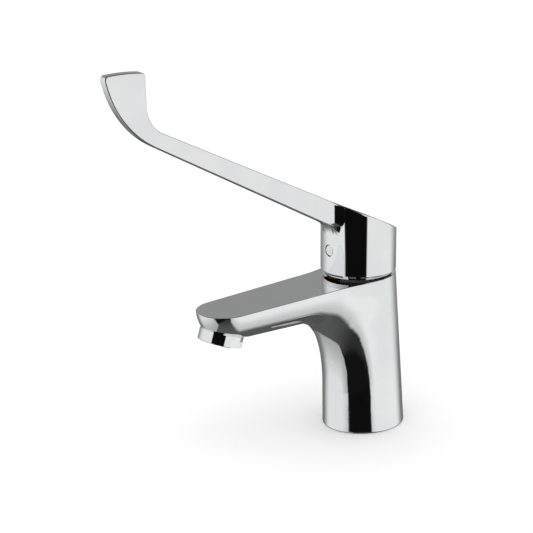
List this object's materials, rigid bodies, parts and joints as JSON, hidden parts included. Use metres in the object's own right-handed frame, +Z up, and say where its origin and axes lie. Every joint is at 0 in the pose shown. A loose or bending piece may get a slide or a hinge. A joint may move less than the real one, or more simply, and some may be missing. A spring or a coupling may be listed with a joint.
{
  "type": "elbow lever tap",
  "caption": "Deck-mounted basin mixer tap with a long hockey-stick elbow lever, a flat-topped spout and a leaning aerator, opened by lifting and swivelling the lever.",
  "frame": {"origin": "centre of the round base, on the deck surface", "axes": "+Z up along the column, -Y to the front where spout and lever point, +X to the right-hand side seen from the back, which is the left of someone facing the spout"},
  "size_m": [0.0488, 0.197, 0.2436],
  "materials": {
    "chrome": "polished",
    "plug_chrome": "satin",
    "black_rubber": "matte",
    "white_acetal": "satin",
    "grey_acetal": "satin",
    "red_acetal": "satin",
    "disc_ceramic": "satin",
    "steel": "satin",
    "brass": "satin"
  },
  "bodies": {
    "tap_body": {"body_shell": "chrome", "aerator_housing": "chrome", "base_gasket": "black_rubber", "base_seals": "black_rubber", "disc_seal": "black_rubber", "housing_seal": "black_rubber", "aerator_washer": "black_rubber", "cartridge_base": "white_acetal", "cartridge_housing": "grey_acetal", "aerator_insert": "grey_acetal", "flow_regulator": "grey_acetal", "limiter_ring": "red_acetal", "fixed_disc": "disc_ceramic", "aerator_screen": "steel", "cartridge_nut": "brass"},
    "rotor_holder": {"rotor": "white_acetal", "pivot_pin": "steel", "rotor_seal": "black_rubber"},
    "lever": {"handle": "chrome", "stem": "steel", "set_screw": "steel", "index_plug": "plug_chrome"},
    "mixing_disc": {"moving_disc": "disc_ceramic", "disc_carrier": "white_acetal"}
  },
  "joints": [
    {"name": "temperature_swivel", "type": "hinge", "parent": "tap_body", "child": "rotor_holder", "pos_m": [0, 0, 0.079], "axis": [0, 0, 1], "range_deg": [-50, 50]},
    {"name": "flow_tilt", "type": "hinge", "parent": "rotor_holder", "child": "lever", "pos_m": [0, 0, 0.106], "axis": [-1, 0, 0], "range_deg": [0, 24]},
    {"name": "disc_slide", "type": "slide", "parent": "rotor_holder", "child": "mixing_disc", "axis": [0, -1, 0], "range_m": [0, 0.0067]}
  ],
  "couplings": [
    {"joint": "disc_slide", "follows": "flow_tilt", "m_per_rad": 0.015884}
  ]
}
